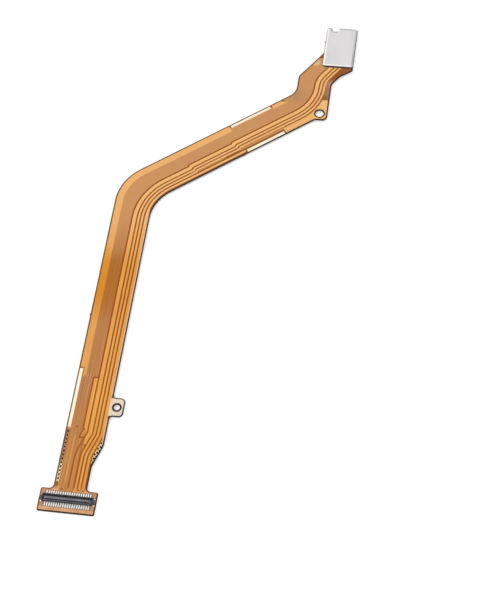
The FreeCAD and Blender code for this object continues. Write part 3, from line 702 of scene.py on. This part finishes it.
def core_material():
    """Polyimide core: dark brown in the hatch's holes, tan in the head's window but nearly black
    between the feet, where shade is painted."""
    material, tree, shader = new_material("polyimide_core", specular=0.2)
    brown = drifting(tree, srgb(62, 38, 20), srgb(50, 30, 16), 500.0)
    tan = drifting(tree, srgb(206, 156, 124), srgb(188, 134, 96), 500.0)
    at_head = step(tree, axis_value(tree, "Y"), HEAD_TOP + 0.4, HEAD_TOP)
    colour = colour_mix(tree, at_head, brown, tan)
    (left, low), (right, high) = flat_place(pads_low), flat_place(pads_high)
    # Painted shade between the head's feet
    feet = patch_mask(tree, (left + PADS_END, low), (right - PADS_END, high), 0.08)
    colour = colour_mix(tree, feet, colour, srgb(78, 60, 46))
    dress(tree, shader, wall_shaded(tree, colour, WALL_SHADE_COLOUR), 0.35, 0.5)
    return material


def ear_material():
    """Worn plating of the ear, with painted shade that makes it nearly black close to its hole."""
    material, tree, shader = new_material("worn_ear_plating_hole_shade")
    worn = drifting(tree, srgb(240, 224, 200), srgb(226, 208, 182), 420.0)
    # Painted shade ring close to the ear's hole
    colour = colour_mix(tree, spot_mask(tree, EAR_HOLE, *EAR_HOLE_SHADE), worn, srgb(40, 28, 22))
    dress(tree, shader, wall_shaded(tree, colour, WALL_SHADE_COLOUR), 0.34, 0.54)
    return material


def hatch_material():
    """Bare hatched copper: cream, but brown at the end of the left strip that lies nearer the
    run."""
    material, tree, shader = new_material("bare_hatch_plating", metallic=0.1)
    cream = drifting(tree, srgb(246, 224, 168), srgb(222, 184, 122), 330.0)
    brown = drifting(tree, srgb(206, 152, 98), srgb(172, 116, 66), 500.0)
    high_part = step(tree, axis_value(tree, "Y"), *HATCH_END)
    mask = product(tree, high_part, across_mask(tree, *HATCH_END_SIDE))
    dress(tree, shader, colour_mix(tree, mask, cream, brown), 0.32, 0.5)
    return material


def shield_material():
    """Black shielding film, a little bluer and darker in a patch between the head and the
    ear."""
    material, tree, shader = new_material("black_shield_film", coat=0.15)
    plain = drifting(tree, srgb(84, 85, 92), srgb(76, 77, 86), 60.0)
    darker_patch = drifting(tree, srgb(72, 74, 87), srgb(66, 68, 80), 60.0)
    mask = patch_mask(tree, *SHIELD_DARK_PATCH, 0.06)
    dress(tree, shader, colour_mix(tree, mask, plain, darker_patch), 0.28, 0.46)
    return material


def steel_material(name, light, dark):
    """Brushed stainless: grain stretched along the part, a little darker in patches."""
    # Its upright faces take painted shade
    return plain_finish(
        name, light, dark, 160.0, 0.36, 0.52, metallic=0.2, wall_shade=srgb(84, 78, 74),
        grain_scale=14000.0, depth=DEEP_GRAIN, stretch=(1.0, 0.06, 1.0))


def moulding_material():
    """Dark moulded body whose middle, between the two rows, is a lighter grey, painted light."""
    material, tree, shader = new_material("dark_moulding", specular=0.4)
    dark = drifting(tree, srgb(38, 37, 43), srgb(50, 49, 56), 700.0)
    # Painted light: the lighter grey of the lit middle
    inner = drifting(tree, srgb(124, 127, 134), srgb(104, 104, 112), 420.0)
    x, y = SOCKET_CENTRE
    half_length = LIT_MIDDLE_LENGTH * (socket_high[0] - socket_low[0]) / 2.0
    reach = LIT_MIDDLE_REACH * (socket_high[1] - socket_low[1])
    low, high = (x - half_length, y - reach), (x + half_length, y + LIT_MIDDLE_RUN_SIDE * reach)
    colour = colour_mix(tree, patch_mask(tree, low, high, 0.04), dark, inner)
    dress(tree, shader, colour, 0.38, 0.58, grain_scale=12000.0, depth=DEEP_GRAIN)
    return material


def spring_material():
    """Plated strips: bright at their feet, and a darker grey inside the moulded body, where shade
    is painted.
    """
    material, tree, shader = new_material("plated_spring_strip", metallic=0.1)
    feet = drifting(tree, srgb(255, 255, 254), srgb(244, 241, 236), 900.0)
    reach = (socket_high[1] - socket_low[1]) / 2.0
    across = calc(tree, "ABSOLUTE", along_way(tree, SOCKET_CENTRE, (0.0, 1.0)))
    # Painted shade inside the moulded body
    inside = step(tree, across, reach, reach - SPRING_SHADE)
    dress(tree, shader, colour_mix(tree, inside, feet, srgb(98, 96, 98)), 0.2, 0.36)
    return material


def sided_material(name, first, second, spots=()):
    """Two colours, each given with a near one, mixed by the side that the piece's own attribute
    keeps: painted light and shade; nearly black at the spots, but for its inner side there."""
    material, tree, shader = new_material(name, specular=0.3)
    side = add(tree, "Attribute", attribute_name="side").outputs["Fac"]
    colour = colour_mix(tree, side, drifting(tree, *first, 500.0), drifting(tree, *second, 500.0))
    # Near the holes the painted shade turns nearly black
    for point, near, far, tint in spots:
        inward = add(tree, "Attribute", attribute_name="inward").outputs["Fac"]
        local = colour_mix(tree, ramp(tree, inward, *INNER_SIDE), srgb(20, 14, 11), tint)
        colour = colour_mix(tree, spot_mask(tree, point, near, far), colour, local)
    dress(tree, shader, colour, 0.45, 0.65)
    return material


MATERIALS = {
    "cover": cover_film_material(),
    "traces": raised_film_material("film_over_traces", TRACE_FILM, 0.22),
    "band": raised_film_material("film_over_ground_band", BAND_FILM, 0.06, BAND_SPOTS),
    "plane": raised_film_material(
        "film_over_power_plane", PLANE_FILM, 0.24, PLANE_SPOTS, metallic=0.0, fan=True),
    "core": core_material(),
    "copper": plain_finish(
        "rolled_copper", srgb(214, 140, 92), srgb(196, 120, 76), metallic=0.7,
        stretch=(1.0, 0.1, 1.0)),
    "plating": plain_finish(
        "bare_plating", srgb(255, 247, 224), srgb(255, 238, 204), 260.0, 0.3, 0.5, metallic=0.5,
        stretch=(1.0, 0.3, 1.0)),
    "ear_plating": ear_material(),
    "hatch": hatch_material(),
    "pads": plain_finish(
        "solder_pad_plating", srgb(236, 214, 172), srgb(222, 196, 150), metallic=0.4),
    "shield": shield_material(),
    "ink": plain_finish(
        "white_print", srgb(245, 245, 243), srgb(236, 236, 234), smooth=0.5, rough=0.7),
    "bond": plain_finish(
        "bonding_sheet", srgb(130, 110, 84), srgb(112, 92, 66), smooth=0.5, rough=0.7),
    "head_steel": steel_material("head_plate_steel", srgb(216, 213, 210), srgb(205, 202, 199)),
    "tail_steel": steel_material("tail_plate_steel", srgb(226, 224, 224), srgb(216, 214, 214)),
    "lip": sided_material(
        "plate_lip_painted_light", (srgb(255, 255, 255), srgb(246, 246, 248)),
        (srgb(206, 204, 204), srgb(186, 184, 184))),
    "bead": plain_finish(
        "bonding_bead_painted_shadow", srgb(84, 52, 30), srgb(60, 38, 24), smooth=0.4, rough=0.6),
    "moulding": moulding_material(),
    "spring": spring_material(),
    "rim": plain_finish(
        "bright_plug_rim", srgb(240, 228, 206), srgb(226, 208, 176), 900.0, 0.2, 0.36,
        metallic=0.6),
    "solder": plain_finish(
        "solder", srgb(250, 249, 246), srgb(222, 219, 212), 2600.0, 0.14, 0.3, metallic=0.15),
    "hold_down": plain_finish(
        "tinned_hold_down", srgb(120, 104, 92), srgb(78, 66, 60), 1500.0, 0.25, 0.42,
        metallic=0.3),
    "via": plain_finish(
        "tented_via", srgb(52, 26, 12), srgb(36, 18, 10), 1600.0, 0.5, 0.7, specular=0.15),
    "cut_edge": sided_material(
        "cut_edge_painted_shade", (srgb(132, 84, 38), srgb(108, 66, 30)),
        (srgb(34, 20, 14), srgb(24, 15, 11)), EDGE_SPOTS),
}

NODE_FINISHES = {
    "base_film": "core",
    "ground_band": "copper",
    "power_plane": "copper",
    "signal_traces": "copper",
    "feed_strip": "copper",
    "corner_ground": "copper",
    "ground_hatch": "hatch",
    "lower_bare_strip": "plating",
    "upper_bare_strip": "plating",
    "inner_bare_strip": "plating",
    "ear_pad": "ear_plating",
    "front_coverlay": "cover",
    "rear_ground": "copper",
    "rear_coverlay": "core",
    "shield_film": "shield",
    "head_marking_line": "ink",
    "tail_marking_line": "ink",
    "head_plate_adhesive": "bond",
    "head_plate": "head_steel",
    "tail_plate_adhesive": "bond",
    "tail_plate": "tail_steel",
    "head_solder_pads": "pads",
    "head_socket_body": "moulding",
    "head_far_contacts": "spring",
    "head_near_contacts": "spring",
    "head_hold_downs": "hold_down",
    "tail_solder_pads": "pads",
    "tail_plug_body": "moulding",
    "tail_outer_contacts": "rim",
    "tail_inner_contacts": "rim",
    "tail_hold_downs": "rim",
}

for node_name, finish in NODE_FINISHES.items():
    slots = nodes[node_name].data.materials
    slots.clear()
    slots.append(MATERIALS[finish])


# New pieces


def make_piece(name, points, faces, finish):
    """A mesh from arrays of points in metres and of faces, riding on the part."""
    mesh = bpy.data.meshes.new(name)
    mesh.from_pydata(points.tolist(), [], [face for block in faces for face in block.tolist()])
    mesh.validate()
    mesh.polygons.foreach_set("use_smooth", np.full(len(mesh.polygons), True))
    mesh.materials.append(MATERIALS[finish])
    piece = bpy.data.objects.new(name, mesh)
    bpy.context.scene.collection.objects.link(piece)
    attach(piece, "root")
    return piece


def top_face(node_name):
    """The upper face of a node: its points in the plane, its triangles and its directed border."""
    mesh = nodes[node_name].data
    mesh.calc_loop_triangles()
    places = np.empty(len(mesh.vertices) * 3)
    mesh.vertices.foreach_get("co", places)
    places = places.reshape(-1, 3)
    triangles = np.empty(len(mesh.loop_triangles) * 3, int)
    mesh.loop_triangles.foreach_get("vertices", triangles)
    triangles = triangles.reshape(-1, 3)
    level = places[:, 2].max()
    flat = (np.abs(places[triangles, 2] - level) < SAME_LEVEL).all(axis=1)
    corners = places[triangles[flat]][:, :, :2].reshape(-1, 2)
    keys = np.round(corners / SAME_POINT).astype(np.int64)
    _, first, index = np.unique(keys, axis=0, return_index=True, return_inverse=True)
    points = corners[first]
    index = index.reshape(-1, 3)
    ahead = points[index[:, 1]] - points[index[:, 0]]
    aside = points[index[:, 2]] - points[index[:, 0]]
    area = ahead[:, 0] * aside[:, 1] - ahead[:, 1] * aside[:, 0]
    index = np.where((area < 0)[:, None], index[:, ::-1], index)[np.abs(area) > LEAST_AREA]
    edges = np.concatenate([index[:, [0, 1]], index[:, [1, 2]], index[:, [2, 0]]])
    out = edges[:, 0] * len(points) + edges[:, 1]
    back = edges[:, 1] * len(points) + edges[:, 0]
    return points, index, edges[~np.isin(out, back)]


def inward_ways(points, border):
    """For each border point, the way that moves both its edges inwards by one unit."""
    way = points[border[:, 1]] - points[border[:, 0]]
    way /= np.linalg.norm(way, axis=1)[:, None]
    left = np.stack([-way[:, 1], way[:, 0]], axis=1)
    total = np.zeros_like(points)
    np.add.at(total, border[:, 0], left)
    np.add.at(total, border[:, 1], left)
    square = (total ** 2).sum(axis=1)[:, None]
    return 2.0 * total / np.maximum(square, 1.0)


def lifted_rings(points, ways, reaches, levels):
    """Copies of the points moved inwards by each reach and put at each level, ring by ring."""
    rings = points[None] + ways[None] * np.asarray(reaches)[:, None, None]
    heights = np.broadcast_to(np.asarray(levels)[:, None, None], (*rings.shape[:2], 1))
    return np.concatenate([rings, heights], axis=2).reshape(-1, 3)


def ring_walls(border, count, rings, closed=False):
    """Quads between following rings of count points along the border; closed joins last to
    first."""
    steps = np.arange(rings if closed else rings - 1)
    below = (steps * count)[:, None]
    above = ((steps + 1) % rings * count)[:, None]
    start, end = border[:, 0][None], border[:, 1][None]
    quads = [start + below, end + below, end + above, start + above]
    return np.stack(quads, axis=2).reshape(-1, 4)


def grid_faces(rows, columns, count=1):
    """Quads of count closed rings, each of rows by columns points that join round."""
    row, column = np.meshgrid(np.arange(rows - 1), np.arange(columns), indexing="ij")
    low = (row * columns + column).ravel()
    beside = (row * columns + (column + 1) % columns).ravel()
    quad = np.stack([low, beside, beside + columns, low + columns], axis=1)
    return (quad[None] + (np.arange(count) * rows * columns)[:, None, None]).reshape(-1, 4)


def relief(name, node_name, finish, shoulder, base, height):
    """A raised skin over a node's upper face: from the border inwards its level follows
    height * (3s^2 - 2s^3) over the shoulder's width, then runs flat; closed below."""
    points, triangles, border = top_face(node_name)
    share = np.linspace(0.0, 1.0, RELIEF_STEPS)
    rise = base + height * (3.0 * share ** 2 - 2.0 * share ** 3)
    levels = np.where(share > 0, rise, base - RELIEF_SINK)
    ways = inward_ways(points, border)
    places = lifted_rings(points, ways, share * shoulder * MM, levels * MM)
    count = len(points)
    top = triangles + (RELIEF_STEPS - 1) * count
    walls = ring_walls(border, count, RELIEF_STEPS)
    make_piece(name, places, [walls, top, triangles[:, ::-1]], finish)


def keep_values(piece, name, values):
    """Writes an attribute of the piece's points, which its material reads."""
    attribute = piece.data.attributes.new(name, "FLOAT", "POINT")
    attribute.data.foreach_set("value", values.astype(np.float32))


def border_bead(name, node_name, finish, section, second_way):
    """A closed bead that follows the border of a node's upper face. Its section joins the points
    (reach inwards, level) in turn, and each point keeps how far inwards it lies and how far
    inwards is the second way."""
    reaches, levels = np.array(section).T * MM
    points, _, border = top_face(node_name)
    ways = inward_ways(points, border)
    used = np.unique(border)
    number = np.zeros(len(points), int)
    number[used] = np.arange(len(used))
    places = lifted_rings(points[used], ways[used], reaches, levels)
    walls = ring_walls(number[border], len(used), len(reaches), closed=True)
    piece = make_piece(name, places, [walls], finish)
    size = np.linalg.norm(ways[used], axis=1)[:, None]
    facing = (ways[used] / np.maximum(size, LEAST_WAY)) @ np.array(second_way)
    keep_values(piece, "side", np.tile(np.clip(0.5 + facing, 0.0, 1.0), len(reaches)))
    keep_values(piece, "inward", np.repeat(reaches / reaches.max(), len(used)))


def cut_edge():
    """Dark rim of the laminate and of its holes: painted shade, darker on one side."""
    top = FILM_TOP + EDGE_RISE
    foot = base_low.z / MM + EDGE_FOOT
    section = [
        (EDGE_INSET, foot), (EDGE_INSET, top - EDGE_ROUNDING),
        (EDGE_INSET + EDGE_SHOULDER, top), (EDGE_WIDTH, top), (EDGE_WIDTH, foot),
    ]
    border_bead("cut_edge", "base_film", "cut_edge", section, EDGE_WAY)


def tail_plate_lip():
    """Rolled lip of the tail's steel plate, coloured with a painted highlight and painted shade.
    """
    plate_top = tail_plate_high.z / MM
    section = [(reach, plate_top + level) for reach, level in LIP_SECTION]
    border_bead("tail_plate_lip", "tail_plate", "lip", section, LIP_WAY)


def tented_vias():
    """Film domes over filled vias: each is a surface of revolution whose height over the radius
    rises to a ring at seven tenths of it and dips in the middle; closed below."""
    share, height = np.array(VIA_SECTION).T
    turn = np.linspace(0.0, 2.0 * math.pi, VIA_SIDES, endpoint=False)
    circle = np.stack([np.cos(turn), np.sin(turn)], axis=1)
    centres = np.array(VIA_PLACES) * MM + np.array([LOWER_EDGE * MM, cad_low.y])
    radii = (share * VIA_RADIUS * MM)[None, :, None, None]
    flat = centres[:, None, None] + circle[None, None] * radii
    levels = (FILM_TOP + height * VIA_HEIGHT)[None, :, None, None] * MM
    levels = np.broadcast_to(levels, (*flat.shape[:3], 1))
    points = np.concatenate([flat, levels], axis=3).reshape(-1, 3)
    walls = grid_faces(len(share), VIA_SIDES, len(centres))
    first = (np.arange(len(centres)) * len(share) * VIA_SIDES)[:, None]
    below = (first + np.arange(VIA_SIDES))[:, ::-1]
    above = first + (len(share) - 1) * VIA_SIDES + np.arange(VIA_SIDES)
    make_piece("tented_vias", points, [walls, below, above], "via")


def resin_bead():
    """Dark bonding resin along the tail plate's lower edge, whose dark colour is painted shadow of
    the plate: a quarter ellipse, swept along the edge, whose size follows the square root of
    1 - |2s - 1|^8; closed behind and below."""
    steps_along, steps_round = BEAD_STEPS
    share, turn = np.meshgrid(
        np.linspace(0.0, 1.0, steps_along), np.linspace(0.0, 0.5 * math.pi, steps_round),
        indexing="ij")
    size = np.sqrt(np.maximum(1.0 - np.abs(2.0 * share - 1.0) ** BEAD_END_POWER, BEAD_LEAST))
    inner = tail_plate_low.y + BEAD_SETBACK * MM
    across = inner - (BEAD_REACH + BEAD_SETBACK) * MM * np.cos(turn) * size
    level = (FILM_TOP - BEAD_SINK + BEAD_HEIGHT * np.sin(turn) * size) * MM
    length = tail_plate_high.x - tail_plate_low.x - 2.0 * BEAD_END_GAP * MM
    along = tail_plate_low.x + BEAD_END_GAP * MM + share * length
    edge = along[:, :1]
    back = np.stack(
        [edge, np.full_like(edge, inner), np.full_like(edge, level.min())], axis=2)
    points = np.concatenate([np.stack([along, across, level], axis=2), back], axis=1)
    rows, columns = points.shape[:2]
    sides = np.roll(grid_faces(rows, columns)[:, ::-1], 1, axis=1)
    first = np.arange(columns)[None]
    last = ((rows - 1) * columns + np.arange(columns))[::-1][None]
    make_piece("resin_bead", points.reshape(-1, 3), [sides, first, last], "bead")


for name, node_name, finish, shoulder in (
    ("film_over_band", "ground_band", "band", RELIEF_SHOULDER),
    ("film_over_plane", "power_plane", "plane", PLANE_SHOULDER),
    ("film_over_traces", "signal_traces", "traces", RELIEF_SHOULDER),
    ("film_over_feed_strip", "feed_strip", "traces", RELIEF_SHOULDER),
    ("film_over_corner_ground", "corner_ground", "band", RELIEF_SHOULDER),
):
    relief(name, node_name, finish, shoulder, FILM_TOP, RELIEF_HEIGHT)

cut_edge()
tail_plate_lip()
tented_vias()
resin_bead()
relief("solder_fillets", "head_solder_pads", "solder", FILLET_REACH,
       pads_high.z / MM, FILLET_HEIGHT)


# Room, light and camera


def link_object(name, data):
    holder = bpy.data.objects.new(name, data)
    bpy.context.scene.collection.objects.link(holder)
    return holder


def seen_mask(tree):
    """1 for a ray from the camera, or one that a mirror or glass turned; 0 for a lighting ray."""
    path = add(tree, "LightPath").outputs
    seen = calc(tree, "MAXIMUM", path["Is Camera Ray"], path["Is Glossy Ray"])
    return calc(tree, "MAXIMUM", seen, path["Is Transmission Ray"])


def make_floor():
    """A pale floor that shows white where it isn't shaded."""
    material, tree, shader = new_material("pale_floor", specular=0.1)
    shader.inputs["Base Color"].default_value = srgb(244, 244, 244)
    shader.inputs["Roughness"].default_value = 0.8
    shader.inputs["Emission Color"].default_value = WHITE
    fill(tree, shader.inputs["Emission Strength"], product(tree, seen_mask(tree), FLOOR_LIFT))
    half = FLOOR_HALF * MM
    mesh = bpy.data.meshes.new("floor")
    corners = [(-half, -half, 0.0), (half, -half, 0.0), (half, half, 0.0), (-half, half, 0.0)]
    mesh.from_pydata(corners, [], [(0, 1, 2, 3)])
    mesh.materials.append(material)
    floor = link_object("floor", mesh)
    floor.location.z = cad_low.z - FLOOR_DROP * MM


def make_lamp(name, place, size, power):
    lamp = bpy.data.lights.new(name, "AREA")
    lamp.shape = "DISK"
    lamp.size = size * MM
    lamp.energy = power
    holder = link_object(name, lamp)
    holder.location = Vector(place) * MM
    holder.rotation_euler = (-holder.location).to_track_quat("-Z", "Y").to_euler()


def make_world():
    world = bpy.data.worlds.new("studio")
    world.use_nodes = True
    tree = world.node_tree
    background = tree.nodes["Background"]
    background.inputs["Color"].default_value = WHITE
    strength = calc(tree, "MULTIPLY_ADD", seen_mask(tree), 1.0 - SKY_STRENGTH, SKY_STRENGTH)
    fill(tree, background.inputs["Strength"], strength)
    bpy.context.scene.world = world


def make_camera():
    """The photo's view: tilted back from straight above, and swung a little to one side."""
    tilt, swing, turn = map(math.radians, (CAMERA_TILT, CAMERA_SWING, PLANE_TURN))
    spin = Matrix.Rotation(turn, 3, "Z")
    across = spin @ Vector((math.cos(swing), math.sin(swing), 0.0))
    far = spin @ Vector((-math.sin(swing), math.cos(swing), 0.0))
    up = Vector((0.0, 0.0, 1.0))
    back = -math.sin(tilt) * far + math.cos(tilt) * up
    rise = math.cos(tilt) * far + math.sin(tilt) * up
    right = math.cos(swing) * across - math.sin(swing) * rise
    head = math.sin(swing) * across + math.cos(swing) * rise
    lens = bpy.data.cameras.new("camera")
    lens.lens = CAMERA_LENS
    lens.clip_start = 0.01
    lens.clip_end = 10.0
    camera = link_object("camera", lens)
    pose = Matrix((right, head, back)).transposed().to_4x4()
    pose.translation = Vector(CAMERA_AIM) * MM + back * CAMERA_DISTANCE * MM
    camera.matrix_world = pose
    bpy.context.scene.camera = camera


make_floor()
make_world()
make_lamp("key", *KEY_LAMP)
make_lamp("fill", *FILL_LAMP)
make_camera()
bpy.context.scene.view_settings.view_transform = "Standard"
